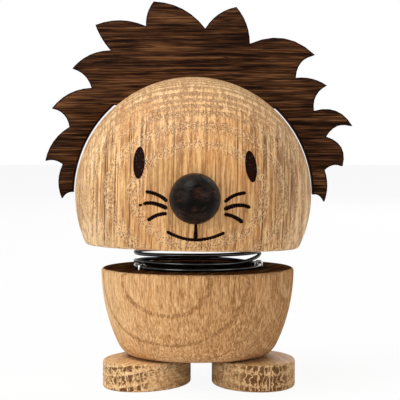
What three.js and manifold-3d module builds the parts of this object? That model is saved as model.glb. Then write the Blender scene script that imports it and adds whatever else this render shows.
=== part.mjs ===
import * as THREE from 'three';
import { mergeVertices } from 'three/addons/utils/BufferGeometryUtils.js';
import Module from 'manifold-3d';

// A small wooden lion with a spring for a neck. It stands on two oval feet and looks along -Y.
// Millimetres and degrees, +Z up. Left and right are those of someone who looks at its face.

// Driving sizes: clearances
const seatGap = 0.3; // between two pieces that sit on or in each other
const coilGap = 0.45; // between two turns of the spring that lie closest
const cutBeyond = 1; // how far a cutting shape stands out of the wood that it cuts

// Driving sizes: feet
const footLength = 28.6;
const footWidth = 20.2;
const footHeight = 6.7;
const footEdge = 0.7; // rounding of the upper and lower edge
const footPlaces = {
  left: { side: -1, x: -12.5, y: -3.3, toeOut: 22 },
  right: { side: 1, x: 13.8, y: -3.2, toeOut: 10 },
};
const footDowelDiameter = 6;
const footDowelInFoot = 4;
const footDowelInBody = 7;
const footDowelBehind = 3.2; // behind the middle of the foot
const footDowelInward = 2.4; // from the middle of the foot towards the other foot

// Driving sizes: body, a turned bowl with a flat top
const bodyRadius = 24;
const bodyHeight = 21.8;
const bowlDepth = 33.4; // depth at which the curve of the bowl would close on the axis
const bodyFootEdge = 2.6; // rounding of the lower edge
const bodyRimEdge = 1.0; // rounding of the upper edge

// Driving sizes: neck spring and its staples
const neckGap = 5.27; // from the top of the body to the underside of the head
const wireDiameter = 0.8;
const coilRadius = 15.5; // to the middle of the wire
const springStart = 265; // angle of the lower wire end
const tangLength = 2.2; // straight end of the wire, in its hole in the wood
const tangBend = 0.8; // radius of the bend above it
const shoulderShare = 0.79; // height of the highest open turn, as a share of the neck gap
const upperPitchPlay = 0.15; // added to the closed pitch where the turns enter the hollow
const stapleDiameter = 0.7;
const stapleLeg = 5; // depth of a leg in the wood
const stapleBend = 0.5;
const lowerStapleAngles = { left: 209, right: 9 };
const upperStapleAngles = { back: 67, front: 262 };

// Places along the spring, in turns from its lower end
const leavesBody = 0.86;
const overFirstTurn = 1.0; // one closed pitch above the first turn
const overLowerStaples = 1.35;
const acrossNeck = 2.0; // here it starts to follow the head's axis
const insideHollow = 3.0; // here it follows the head's axis all the way
const onHeadSeat = 3.34;
const springTurns = 4.13;

// Driving sizes: head, a ball with a flat underside
const headRadius = 29.35;
const headUnder = 12.73; // from the middle of the ball down to the underside
const headEdge = 0.8; // rounding of the edge round the underside
const headShift = -1.08; // sideways set of the head on its spring
const headTiltBack = 1.0; // the face looks up a little
const headRoll = 1.2; // its right side hangs lower
const headTurn = 0.9; // the face turns to the right a little
const recessPlay = 1.6; // round the spring, in the hollow under the head

// Driving sizes: nose ball on its dowel
const noseRadius = 5.9;
const noseStand = 3.5; // middle of the nose ball beyond the ball of the head
const noseHeight = -0.2; // above the middle of the head
const noseDowelDiameter = 4;
const noseDowelInHead = 8;
const noseDowelInNose = 5;

// Driving sizes: mane, a flat plate in a slot that is sawn across the top of the head
const maneThickness = 4;
const maneSetback = 0.75; // of its front face, behind the middle of the head
const slotHeight = 22; // of the slot's floor, above the middle of the head
const manePlay = 0.65; // between the arch of the mane and the ball of the head
// Tips and valleys clockwise from the lower left: angle from the right, distance beyond the ball
// of the head, and how far the edge to the next point swells out (or in, where below zero).
const maneArchEnds = { left: 179.8, right: 1.3 };
const maneFirstBulge = -0.5;
const maneFlames = [
  { angle: 182.7, stand: 3.5, bulge: 0.95 },
  { angle: 168.0, stand: 4.15, bulge: -0.55 },
  { angle: 168.2, stand: 8.55, bulge: 1.15 },
  { angle: 152.4, stand: 5.9, bulge: -1.1 },
  { angle: 149.7, stand: 12.0, bulge: 1.3 },
  { angle: 134.7, stand: 7.5, bulge: -0.9 },
  { angle: 134.8, stand: 14.3, bulge: 1.2 },
  { angle: 120.8, stand: 12.15, bulge: 0.4 },
  { angle: 121.1, stand: 19.55, bulge: 1.3 },
  { angle: 106.8, stand: 14.4, bulge: 0.6 },
  { angle: 102.7, stand: 19.9, bulge: 1.7 },
  { angle: 87.0, stand: 12.3, bulge: 1.05 },
  { angle: 78.2, stand: 18.8, bulge: 0.9 },
  { angle: 70.6, stand: 11.0, bulge: 2.75 },
  { angle: 50.2, stand: 17.05, bulge: -1.4 },
  { angle: 49.9, stand: 9.6, bulge: 0.75 },
  { angle: 40.4, stand: 13.9, bulge: -1.25 },
  { angle: 36.0, stand: 7.5, bulge: 2.0 },
  { angle: 24.6, stand: 14.1, bulge: -1.35 },
  { angle: 24.8, stand: 7.05, bulge: 2.0 },
  { angle: 12.0, stand: 8.8, bulge: -0.75 },
  { angle: 11.8, stand: 4.2, bulge: 0.7 },
  { angle: -1.8, stand: 3.6, bulge: -0.65 },
];

// How finely round shapes are divided
const turnedSides = 56;
const holeSides = 14;
const smallHoleSides = 8;
const ballArcSteps = 22;
const bowlArcSteps = 12;
const cornerSteps = 3;
const noseSides = 24;
const noseRings = 16;
const wireSides = 6;
const springStepsPerTurn = 18;
const bendSteps = 3;
const ovalSegments = 24;
const flameSegments = 5;
const gapSamplesPerTurn = 72;
const shortStep = 0.01; // of a turn, to read the direction of the wire at its end

// Sizes that follow from the driving ones
const bodyBottom = footHeight + seatGap;
const bodyTop = bodyBottom + bodyHeight;
const headMiddle = bodyTop + neckGap + headUnder;
const wireRadius = wireDiameter / 2;
const closedPitch = wireDiameter + coilGap;
const stapleTop = 2 * seatGap + wireDiameter + stapleDiameter; // of its crown, above the wood
const lowCoil = bodyTop + seatGap + wireRadius;
const overStaple = bodyTop + stapleTop + 2 * seatGap + wireRadius;
const shoulder = bodyTop + neckGap * shoulderShare;
const underStaple = Math.max(shoulder, overStaple) + closedPitch + upperPitchPlay;
const highCoil = underStaple + stapleTop;
const recessTop = highCoil + wireRadius + seatGap;
const recessDepth = recessTop - (bodyTop + neckGap);
const recessRadius = coilRadius + wireRadius + recessPlay;
const archRadius = headRadius + manePlay;

const radians = THREE.MathUtils.degToRad;

// Materials
const oak = new THREE.MeshStandardMaterial({ color: 0xd2a874, roughness: 0.62, metalness: 0 });
const smokedOak = new THREE.MeshStandardMaterial({ color: 0x4a2c19, roughness: 0.7, metalness: 0 });
const stainedWood = new THREE.MeshStandardMaterial({ color: 0x24140e, roughness: 0.45, metalness: 0 });
const beech = new THREE.MeshStandardMaterial({ color: 0xd8b88c, roughness: 0.65, metalness: 0 });
const blackSteel = new THREE.MeshStandardMaterial({ color: 0x1d1d1f, roughness: 0.25, metalness: 1 });
const brightSteel = new THREE.MeshStandardMaterial({ color: 0xc4c4c6, roughness: 0.28, metalness: 1 });

// Cutting and joining
const wasm = await Module();
wasm.setup();

function withSharedPoints(geometry) {
  const bare = geometry.clone();
  for (const name of ['normal', 'uv']) {
    if (bare.hasAttribute(name)) bare.deleteAttribute(name);
  }
  const merged = mergeVertices(bare);
  const corners = merged.index.array;
  const kept = [];
  for (let i = 0; i < corners.length; i += 3) {
    const [a, b, c] = corners.slice(i, i + 3);
    if (a !== b && b !== c && c !== a) kept.push(a, b, c);
  }
  merged.setIndex(kept);
  return merged;
}

function solidOf(geometry) {
  const shared = withSharedPoints(geometry);
  return new wasm.Manifold(new wasm.Mesh({
    numProp: 3,
    vertProperties: Float32Array.from(shared.attributes.position.array),
    triVerts: Uint32Array.from(shared.index.array),
  }));
}

function cut(geometry, tools) {
  let solid = solidOf(geometry);
  for (const tool of tools) solid = solid.subtract(solidOf(tool));
  const mesh = solid.getMesh();
  const result = new THREE.BufferGeometry();
  result.setAttribute('position', new THREE.BufferAttribute(mesh.vertProperties, 3));
  result.setIndex(new THREE.BufferAttribute(mesh.triVerts, 1));
  return result;
}

// Shapes
function turned(profile) {
  const points = profile.map(([radius, height]) => new THREE.Vector2(radius, height));
  return new THREE.LatheGeometry(points, turnedSides).rotateX(Math.PI / 2);
}

function roundCorner(before, corner, after) {
  const points = [];
  for (let i = 0; i <= cornerSteps; i += 1) {
    const t = i / cornerSteps;
    points.push([0, 1].map((k) => (
      (1 - t) ** 2 * before[k] + 2 * t * (1 - t) * corner[k] + t ** 2 * after[k]
    )));
  }
  return points;
}

function uprightRod(radius, from, to, sides = holeSides) {
  const rod = new THREE.CylinderGeometry(radius, radius, to - from, sides);
  return rod.rotateX(Math.PI / 2).translate(0, 0, (from + to) / 2);
}

// A rod on the nose's axis. Its ends are given as distances in front of the ball of the head.
function noseRod(radius, inner, outer) {
  const rod = new THREE.CylinderGeometry(radius, radius, outer - inner, holeSides);
  return rod.translate(0, -headRadius - (inner + outer) / 2, noseHeight);
}

function bentWire(points, radius) {
  const along = points.map((point, i) => (
    points[Math.min(i + 1, points.length - 1)].clone().sub(points[Math.max(i - 1, 0)]).normalize()
  ));
  const notAlongAnyWire = new THREE.Vector3(0.3, 0.5, 0.8);
  const side = notAlongAnyWire.cross(along[0]).normalize();
  const vertices = [];
  const faces = [];
  points.forEach((point, ring) => {
    side.addScaledVector(along[ring], -side.dot(along[ring])).normalize();
    const up = along[ring].clone().cross(side);
    for (let k = 0; k < wireSides; k += 1) {
      const angle = (2 * Math.PI * k) / wireSides;
      const corner = point.clone()
        .addScaledVector(side, radius * Math.cos(angle))
        .addScaledVector(up, radius * Math.sin(angle));
      vertices.push(corner.x, corner.y, corner.z);
    }
  });
  for (let ring = 0; ring + 1 < points.length; ring += 1) {
    for (let k = 0; k < wireSides; k += 1) {
      const next = (k + 1) % wireSides;
      const [a, b] = [ring * wireSides + k, ring * wireSides + next];
      const [c, d] = [a + wireSides, b + wireSides];
      faces.push(a, b, d, a, d, c);
    }
  }
  const last = (points.length - 1) * wireSides;
  for (let k = 1; k + 1 < wireSides; k += 1) {
    faces.push(0, k + 1, k, last, last + k, last + k + 1);
  }
  const wire = new THREE.BufferGeometry();
  wire.setAttribute('position', new THREE.Float32BufferAttribute(vertices, 3));
  wire.setIndex(faces);
  return wire;
}

// Places
const footPlace = ({ x, y, side, toeOut }) => (
  new THREE.Matrix4().makeTranslation(x, y, 0)
    .multiply(new THREE.Matrix4().makeRotationZ(side * radians(toeOut)))
);

const headPlace = new THREE.Matrix4().makeTranslation(headShift, 0, headMiddle)
  .multiply(new THREE.Matrix4().makeRotationZ(radians(headTurn)))
  .multiply(new THREE.Matrix4().makeRotationY(radians(headRoll)))
  .multiply(new THREE.Matrix4().makeRotationX(radians(-headTiltBack)));

function staplePlace(angle, height, pointsDown) {
  const turn = new THREE.Matrix4().makeRotationZ(radians(angle));
  const lift = new THREE.Matrix4().makeTranslation(coilRadius, 0, height);
  const flip = new THREE.Matrix4().makeRotationX(pointsDown ? Math.PI : 0);
  return turn.multiply(lift).multiply(flip);
}

const lowerStaple = (angle) => staplePlace(angle, bodyTop, false);
const upperStaple = (angle) => staplePlace(angle, recessTop - headMiddle, true);
const dowelSpot = ({ side }) => new THREE.Vector3(-side * footDowelInward, footDowelBehind, 0);

// The staple straddles the wire: its crown lies along the local X, its legs point down.
const stapleHalfSpan = wireRadius + seatGap + stapleDiameter / 2;
const stapleCrown = stapleTop - stapleDiameter / 2;

function stapleWire() {
  const points = [new THREE.Vector3(-stapleHalfSpan, 0, -stapleLeg)];
  for (const side of [-1, 1]) {
    const middle = side * (stapleHalfSpan - stapleBend);
    for (let i = 0; i <= bendSteps; i += 1) {
      const turn = (i * Math.PI) / (2 * bendSteps);
      const angle = side < 0 ? Math.PI - turn : Math.PI / 2 - turn;
      points.push(new THREE.Vector3(
        middle + stapleBend * Math.cos(angle),
        0,
        stapleCrown - stapleBend + stapleBend * Math.sin(angle),
      ));
    }
  }
  points.push(new THREE.Vector3(stapleHalfSpan, 0, -stapleLeg));
  return bentWire(points, stapleDiameter / 2);
}

function stapleHoles(place) {
  return [-stapleHalfSpan, stapleHalfSpan].map((x) => (
    uprightRod(stapleDiameter / 2 + seatGap, -stapleLeg - seatGap, cutBeyond, smallHoleSides)
      .translate(x, 0, 0)
      .applyMatrix4(place)
  ));
}

// The spring: a lower turn on the wood, an open turn across the neck, and turns in the head's
// hollow. Its height over its turns is a sum of smooth rises.
const rises = [
  { from: leavesBody, to: overFirstTurn, rise: closedPitch },
  { from: overFirstTurn, to: overLowerStaples, rise: overStaple - lowCoil - closedPitch },
  { from: overLowerStaples, to: acrossNeck, rise: Math.max(shoulder - overStaple, 0) },
  { from: acrossNeck, to: insideHollow, rise: closedPitch + upperPitchPlay },
  { from: insideHollow, to: onHeadSeat, rise: stapleTop },
];
const goingOver = { from: acrossNeck, to: insideHollow };

const eased = (turn, { from, to }) => THREE.MathUtils.smoothstep(turn, from, to);

function springPoint(turn) {
  const angle = radians(springStart + 360 * turn);
  const height = rises.reduce((sum, step) => sum + step.rise * eased(turn, step), lowCoil);
  const onBody = new THREE.Vector3(coilRadius * Math.cos(angle), coilRadius * Math.sin(angle), height);
  const onHead = onBody.clone().setZ(height - headMiddle).applyMatrix4(headPlace);
  return onBody.lerp(onHead, eased(turn, goingOver));
}

function wireEnd(turn, towards) {
  const end = springPoint(turn);
  const before = springPoint(turn > 0 ? turn - shortStep : turn + shortStep);
  const out = end.clone().sub(before).normalize();
  const middle = end.clone().addScaledVector(towards, tangBend);
  const bend = Array.from({ length: bendSteps }, (_, i) => {
    const angle = ((i + 1) * Math.PI) / (2 * bendSteps);
    return middle.clone()
      .addScaledVector(towards, -tangBend * Math.cos(angle))
      .addScaledVector(out, tangBend * Math.sin(angle));
  });
  return [...bend, bend.at(-1).clone().addScaledVector(towards, tangLength)];
}

const down = new THREE.Vector3(0, 0, -1);
const upInHead = new THREE.Vector3(0, 0, 1).transformDirection(headPlace);
const lowerTang = wireEnd(0, down);
const upperTang = wireEnd(springTurns, upInHead);

function springPoints() {
  const steps = Math.round(springTurns * springStepsPerTurn);
  const coil = Array.from({ length: steps + 1 }, (_, i) => springPoint((i / steps) * springTurns));
  return [...lowerTang.slice().reverse(), ...coil, ...upperTang];
}

function leastGapBetweenTurns() {
  const points = Array.from(
    { length: Math.round(springTurns * gapSamplesPerTurn) + 1 },
    (_, i) => springPoint(i / gapSamplesPerTurn),
  );
  let least = Infinity;
  points.forEach((point, i) => {
    for (let k = i + gapSamplesPerTurn / 2; k < points.length; k += 1) {
      least = Math.min(least, point.distanceTo(points[k]) - wireDiameter);
    }
  });
  return least;
}
console.log(`spring: least gap between turns ${leastGapBetweenTurns().toFixed(2)} mm`);

function tangHole(tang, towards) {
  const mouth = tang.at(-2);
  const depth = tangLength + seatGap;
  const hole = uprightRod(wireRadius + seatGap, -cutBeyond, depth, smallHoleSides);
  const turn = new THREE.Quaternion().setFromUnitVectors(new THREE.Vector3(0, 0, 1), towards);
  return hole.applyQuaternion(turn).translate(mouth.x, mouth.y, mouth.z);
}

// Pieces
function footShape(place) {
  const outline = new THREE.Shape();
  outline.absellipse(0, 0, footWidth / 2, footLength / 2, 0, 2 * Math.PI);
  const block = new THREE.ExtrudeGeometry(outline, {
    depth: footHeight - 2 * footEdge,
    bevelThickness: footEdge,
    bevelSize: footEdge,
    bevelOffset: -footEdge,
    bevelSegments: cornerSteps,
    curveSegments: ovalSegments,
  }).translate(0, 0, footEdge);
  const spot = dowelSpot(place);
  const hole = uprightRod(
    footDowelDiameter / 2 + seatGap, footHeight - footDowelInFoot - seatGap, footHeight + cutBeyond,
  ).translate(spot.x, spot.y, 0);
  return cut(block, [hole]);
}

function bodyShape() {
  const radiusAt = (height) => (
    bodyRadius * Math.sqrt(1 - ((bodyHeight - height) / bowlDepth) ** 2)
  );
  const lowEnd = [radiusAt(bodyFootEdge), bodyFootEdge];
  const highStart = [radiusAt(bodyHeight - bodyRimEdge), bodyHeight - bodyRimEdge];
  const wall = Array.from({ length: bowlArcSteps - 1 }, (_, i) => {
    const height = THREE.MathUtils.lerp(lowEnd[1], highStart[1], (i + 1) / bowlArcSteps);
    return [radiusAt(height), height];
  });
  const bowl = turned([
    [0, 0],
    ...roundCorner([radiusAt(0) - bodyFootEdge, 0], [radiusAt(0), 0], lowEnd),
    ...wall,
    ...roundCorner(highStart, [bodyRadius, bodyHeight], [bodyRadius - bodyRimEdge, bodyHeight]),
    [0, bodyHeight],
  ]).translate(0, 0, bodyBottom);
  const dowelHoles = Object.values(footPlaces).map((place) => {
    const spot = dowelSpot(place).applyMatrix4(footPlace(place));
    const radius = footDowelDiameter / 2 + seatGap;
    return uprightRod(radius, bodyBottom - cutBeyond, footHeight + footDowelInBody + 2 * seatGap)
      .translate(spot.x, spot.y, 0);
  });
  const wireHoles = Object.values(lowerStapleAngles).flatMap((angle) => (
    stapleHoles(lowerStaple(angle))
  ));
  return cut(bowl, [...dowelHoles, ...wireHoles, tangHole(lowerTang, down)]);
}

function headShape() {
  const rim = Math.sqrt(headRadius ** 2 - headUnder ** 2);
  const start = Math.asin((headEdge - headUnder) / headRadius);
  const arc = Array.from({ length: ballArcSteps }, (_, i) => {
    const angle = THREE.MathUtils.lerp(start, Math.PI / 2, i / ballArcSteps);
    return [headRadius * Math.cos(angle), headRadius * Math.sin(angle)];
  });
  const ball = turned([
    [0, recessDepth - headUnder],
    [recessRadius, recessDepth - headUnder],
    [recessRadius, -headUnder],
    ...roundCorner([rim - headEdge, -headUnder], [rim, -headUnder], arc[0]),
    ...arc.slice(1),
    [0, headRadius],
  ]);
  const slotLength = 2 * (headRadius + cutBeyond);
  const slot = new THREE.BoxGeometry(slotLength, maneThickness + 2 * seatGap, headRadius)
    .translate(0, maneSetback + maneThickness / 2, slotHeight + headRadius / 2);
  const noseHole = noseRod(
    noseDowelDiameter / 2 + seatGap, -noseDowelInHead - seatGap, cutBeyond,
  );
  const wireHoles = Object.values(upperStapleAngles).flatMap((angle) => (
    stapleHoles(upperStaple(angle))
  ));
  const upperHole = tangHole(upperTang, upInHead).applyMatrix4(headPlace.clone().invert());
  return cut(ball, [slot, noseHole, upperHole, ...wireHoles]);
}

function maneShape() {
  const spot = ({ angle, stand }) => new THREE.Vector2(
    (headRadius + stand) * Math.cos(radians(angle)),
    (headRadius + stand) * Math.sin(radians(angle)),
  );
  const leftEnd = spot({ angle: maneArchEnds.left, stand: manePlay });
  const rightEnd = spot({ angle: maneArchEnds.right, stand: manePlay });
  const seat = slotHeight + seatGap;
  const seatAngle = Math.asin(seat / archRadius);
  const outline = new THREE.Shape();
  outline.moveTo(leftEnd.x, leftEnd.y);
  // The curve goes half way to its control point, which therefore stands off twice as far.
  const edgeTo = (from, to, bulge) => {
    const along = to.clone().sub(from).normalize();
    const outwards = new THREE.Vector2(-along.y, along.x);
    const control = from.clone().lerp(to, 0.5).addScaledVector(outwards, 2 * bulge);
    outline.quadraticCurveTo(control.x, control.y, to.x, to.y);
  };
  edgeTo(leftEnd, spot(maneFlames[0]), maneFirstBulge);
  maneFlames.forEach((flame, i) => {
    const next = i + 1 < maneFlames.length ? spot(maneFlames[i + 1]) : rightEnd;
    edgeTo(spot(flame), next, flame.bulge);
  });
  outline.absarc(0, 0, archRadius, radians(maneArchEnds.right), seatAngle, false);
  outline.lineTo(-archRadius * Math.cos(seatAngle), seat);
  outline.absarc(0, 0, archRadius, Math.PI - seatAngle, radians(maneArchEnds.left), false);
  const plate = new THREE.ExtrudeGeometry(outline, {
    depth: maneThickness,
    bevelEnabled: false,
    curveSegments: flameSegments,
  });
  return plate.rotateX(Math.PI / 2).translate(0, maneSetback + maneThickness, 0);
}

function noseShape() {
  const middle = -headRadius - noseStand;
  const ball = new THREE.SphereGeometry(noseRadius, noseSides, noseRings).rotateX(Math.PI / 2)
    .translate(0, middle, noseHeight);
  const seat = new THREE.SphereGeometry(headRadius + seatGap, turnedSides, 2 * ballArcSteps);
  const hole = noseRod(
    noseDowelDiameter / 2 + seatGap, -cutBeyond, noseDowelInNose + seatGap,
  );
  return cut(ball, [seat, hole]);
}

function noseDowelShape() {
  return noseRod(noseDowelDiameter / 2, -noseDowelInHead, noseDowelInNose - seatGap);
}

// Assembly
function piece(name, geometry, material) {
  const mesh = new THREE.Mesh(withSharedPoints(geometry), material);
  mesh.name = name;
  return mesh;
}

function placed(object, matrix) {
  object.applyMatrix4(matrix);
  return object;
}

const figure = new THREE.Group();

for (const [name, place] of Object.entries(footPlaces)) {
  const leg = new THREE.Group();
  const spot = dowelSpot(place);
  const dowel = uprightRod(
    footDowelDiameter / 2, footHeight - footDowelInFoot, footHeight + footDowelInBody + seatGap,
  );
  leg.add(piece(`foot_${name}`, footShape(place), oak));
  leg.add(piece(`foot_dowel_${name}`, dowel.translate(spot.x, spot.y, 0), beech));
  figure.add(placed(leg, footPlace(place)));
}

figure.add(piece('body', bodyShape(), oak));
for (const [name, angle] of Object.entries(lowerStapleAngles)) {
  const staple = piece(`staple_lower_${name}`, stapleWire(), brightSteel);
  figure.add(placed(staple, lowerStaple(angle)));
}
figure.add(piece('spring', bentWire(springPoints(), wireRadius), blackSteel));

const headGroup = placed(new THREE.Group(), headPlace);
headGroup.add(piece('head', headShape(), oak));
headGroup.add(piece('mane', maneShape(), smokedOak));
headGroup.add(piece('nose', noseShape(), stainedWood));
headGroup.add(piece('nose_dowel', noseDowelShape(), beech));
for (const [name, angle] of Object.entries(upperStapleAngles)) {
  const staple = piece(`staple_upper_${name}`, stapleWire(), brightSteel);
  headGroup.add(placed(staple, upperStaple(angle)));
}
figure.add(headGroup);

// The origin lies on the floor, under the middle of the whole figure.
figure.updateMatrixWorld(true);
const middle = new THREE.Box3().setFromObject(figure, true).getCenter(new THREE.Vector3());
figure.position.set(-middle.x, -middle.y, 0);

const lion = new THREE.Group();
lion.add(figure);

export default lion;
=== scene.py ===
"""A small wooden lion: two oval feet, a turned bowl for a body, a wire spring for a neck, a ball
for a head with a burnt face and a ball nose, and a flat mane of smoked oak.

Metres, +Z up, the face looks along -Y. Left and right are those of someone who looks at it."""

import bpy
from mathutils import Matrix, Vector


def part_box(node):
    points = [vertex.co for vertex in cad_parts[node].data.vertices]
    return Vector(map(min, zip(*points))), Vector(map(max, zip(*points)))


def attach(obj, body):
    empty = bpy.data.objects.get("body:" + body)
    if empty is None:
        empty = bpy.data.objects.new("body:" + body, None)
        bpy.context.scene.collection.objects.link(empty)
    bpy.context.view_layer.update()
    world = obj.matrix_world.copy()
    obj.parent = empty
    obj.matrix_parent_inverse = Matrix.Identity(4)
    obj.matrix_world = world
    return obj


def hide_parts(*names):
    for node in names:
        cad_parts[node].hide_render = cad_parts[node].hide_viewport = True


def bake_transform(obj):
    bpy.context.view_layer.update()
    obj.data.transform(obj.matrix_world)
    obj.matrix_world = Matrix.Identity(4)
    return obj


bl_info = {
    "name": "Wooden Lion Figurine",
    "version": (1, 0, 0),
    "blender": (4, 5, 0),
    "location": "3D View > Sidebar > Lion",
    "description": "Models a small wooden lion with a spring for a neck",
    "category": "Object",
}

import math

import bpy
from bpy.props import FloatProperty, FloatVectorProperty, PointerProperty
from mathutils import Euler, Matrix, Vector

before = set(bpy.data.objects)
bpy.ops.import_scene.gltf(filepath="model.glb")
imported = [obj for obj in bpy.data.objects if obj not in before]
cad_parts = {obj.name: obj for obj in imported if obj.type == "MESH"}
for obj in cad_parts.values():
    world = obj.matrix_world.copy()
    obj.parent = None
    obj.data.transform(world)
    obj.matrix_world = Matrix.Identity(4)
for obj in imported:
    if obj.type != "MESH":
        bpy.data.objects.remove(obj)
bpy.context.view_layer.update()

mm = 0.001
QUARTER_TURN = math.radians(90)

# Places from the frame
body_low, body_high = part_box("body")
body_axis = (body_low + body_high) / 2

# How finely round shapes are divided
TURNED_SIDES = 224
BALL_STEPS = 96
BOWL_STEPS = 48
CORNER_STEPS = 6
FOOT_SIDES = 160
NOSE_SIDES = 128
NOSE_RINGS = 80
HOLE_SIDES = 48
OUTLINE_STEPS = 6
WIRE_STEPS_PER_TURN = 64
STEPS_PER_DOT = 6
FLOOR_SIDES = 96
SMOOTH_BELOW = math.radians(32)
WELD = 1e-7

# How far a drill or a saw goes past the piece, and a drill past the end of a dowel
DRILL_PAST = 1 * mm
DRILL_PLAY = 0.2 * mm

# Strokes of the face in the head's own frame, in millimetres: (across, up) from one end over the
# middle to the other, and the width at both ends
WHISKERS = [
    ((-11.45, 1.05), (-8.64, 0.45), (-6.30, -1.10), 0.98, 1.05),
    ((-11.90, -1.90), (-9.60, -1.58), (-6.27, -2.70), 0.92, 1.28),
    ((-10.80, -5.70), (-8.78, -4.37), (-6.34, -3.84), 0.98, 1.02),
    ((11.88, 1.24), (9.08, 0.58), (6.88, -1.02), 0.98, 0.98),
    ((13.05, -2.22), (10.07, -1.64), (6.80, -2.69), 0.96, 1.22),
    ((11.34, -5.69), (9.08, -4.30), (6.82, -3.76), 1.16, 0.92),
]
MOUTH = ((-6.34, -8.02), (0.21, -9.86), (7.12, -8.02), 0.92, 0.9)
LIP = ((0.36, -5.9), (0.40, -8.0), (0.38, -9.75), 0.70, 1.35)
BLUNT_END = 0.25  # width of a stroke's very end, as a share of its width

# Single dots before the left middle whisker, in millimetres
WHISKER_DOTS = [(-12.72, -2.1), (-12.45, -2.04)]
DOT_RADIUS = 0.32 * mm

# Eyes in the head's own frame, in millimetres: top, bottom, width. The handles at the tips and at
# the sides are shares of half the width and of half the height.
EYES = [
    ((-12.98, 11.53), (-13.23, 3.94), 2.76),
    ((12.49, 11.14), (13.54, 3.67), 2.76),
]
EYE_TIP_HANDLE = 0.5
EYE_SIDE_HANDLE = 0.53

# Flames of the mane clockwise from the lower left: angle in degrees from the right, distance
# beyond the ball of the head and how far the edge to the next point swells out, in millimetres
MANE_FLAMES = [
    (182.7, 3.5, 0.95),
    (168.0, 4.15, -0.55),
    (168.2, 8.55, 1.15),
    (152.4, 5.9, -1.1),
    (149.7, 12.0, 1.3),
    (134.7, 7.5, -0.9),
    (134.8, 14.3, 1.2),
    (120.8, 12.15, 0.4),
    (121.1, 19.55, 1.3),
    (106.8, 14.4, 0.6),
    (102.7, 19.9, 1.7),
    (87.0, 12.3, 1.05),
    (78.2, 18.8, 0.9),
    (70.6, 11.0, 2.75),
    (50.2, 17.05, -1.4),
    (49.9, 9.6, 0.75),
    (40.4, 13.9, -1.25),
    (36.0, 7.5, 2.0),
    (24.6, 14.1, -1.35),
    (24.8, 7.05, 2.0),
    (12.0, 8.8, -0.75),
    (11.8, 4.2, 0.7),
    (-1.8, 3.6, -0.65),
]
MANE_ARCH_LEFT = 179.8
MANE_ARCH_RIGHT = 1.3
MANE_ARCH_PARTS = 4
MANE_FIRST_BULGE = -0.5

# How squarely a face of the mane has to face forwards or back to be flat, and to stay unburnt
MANE_FLAT = 0.9
MANE_UNBURNT = 0.98

# Rises of the neck wire: from turn, to turn, height in millimetres. Turn 0 is at the front.
WIRE_RISES = [
    (0.3, 0.46, 0.46),
    (0.54, 0.7, 0.48),
    (0.7, 0.8, 0.58),
    (0.86, 1.0, -0.1),
    (1.08, 1.26, 1.52),
    (1.52, 1.75, 0.39),
    (1.8, 2.0, 0.3),
    (2.25, 2.52, 1.52),
    (2.9, 3.75, 0.92),
    (4.05, 4.3, 1.46),
]

# Turns over which the coil goes over from the body's axis to the head's
WIRE_TO_HEAD = (2.0, 2.9)

# Lengths of the neck wire: name, first and last turn, the two bodies it runs between, and how
# far behind the axis, in millimetres, it leaves the first body and reaches the second one
NECK_WIRES = [
    ("neck_wire_base", -0.28, 1.0, "trunk", "neck", 17, 34),
    ("neck_wire_lift", 1.0, 1.5, "trunk", "neck", -16, 16),
    ("neck_wire_middle", 1.5, 2.0, "neck", "head", 16, -40.4),
    ("neck_wire_rise", 2.0, 2.5, "neck", "head", -57.9, 16),
    ("neck_wire_top", 2.5, 5.0, "neck", "head", -34, -17),
]

# Staples: name, degrees about the coil from the right as seen on the wood, body, CAD node
STAPLES = [
    ("left_staple", 209, "trunk", "staple_lower_left"),
    ("right_staple", 9, "trunk", "staple_lower_right"),
    ("back_staple", -67, "head", "staple_upper_back"),
    ("front_staple", -262, "head", "staple_upper_front"),
]

# Soft lamps in metres: setting with the watts, place, diameter. All of them aim at one spot.
LAMPS = [
    ("key", (-0.66, -0.70, 0.24), 0.6),
    ("top", (-0.38, -0.28, 0.95), 0.7),
    ("fill", (0.7, -0.65, 0.28), 0.7),
    ("back", (0.35, 0.85, 0.5), 0.7),
]
LAMP_AIM = Vector((0, 0, 0.045))
FLOOR_RADIUS = 3  # metres
CAMERA_SENSOR = 36  # millimetres
CAMERA_NEAR = 10 * mm
CAMERA_FAR = 20  # metres

# How the wood of the head and of the body is turned, in degrees about X, Y and Z, and how far the
# rings of the feet lean
HEAD_GRAIN = (-2, 1.5, 2)
BODY_GRAIN = (1.5, 0, -22)
FOOT_LEANS = {"left": -8, "right": 3}

# Radii in millimetres between which the painted shade on the body's sawn top goes over from near-black
# inside the spring to the paler tone round it
COIL_SHADE_RING = (14.5, 18.0)


def tone(red, green, blue):
    """A colour as a picture shows it, from 0 to 255, as the numbers that a shader takes."""
    shares = [value / 255 for value in (red, green, blue)]
    return tuple(v / 12.92 if v <= 0.04045 else ((v + 0.055) / 1.055) ** 2.4 for v in shares)


def length(name, description, millimetres):
    return FloatProperty(
        name=name,
        description=description,
        default=millimetres * mm,
        subtype="DISTANCE",
        unit="LENGTH",
    )


def angle(name, description, degrees):
    return FloatProperty(
        name=name,
        description=description,
        default=math.radians(degrees),
        subtype="ANGLE",
        unit="ROTATION",
    )


def colour(name, description, red, green, blue):
    return FloatVectorProperty(
        name=name,
        description=description,
        default=tone(red, green, blue),
        subtype="COLOR",
        size=3,
        min=0,
        max=1,
    )


def portion(name, description, amount):
    return FloatProperty(
        name=name,
        description=description,
        default=amount,
        min=0,
        max=1,
        subtype="FACTOR",
    )


def power(name, description, amount):
    return FloatProperty(name=name, description=description, default=amount, unit="POWER")


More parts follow.
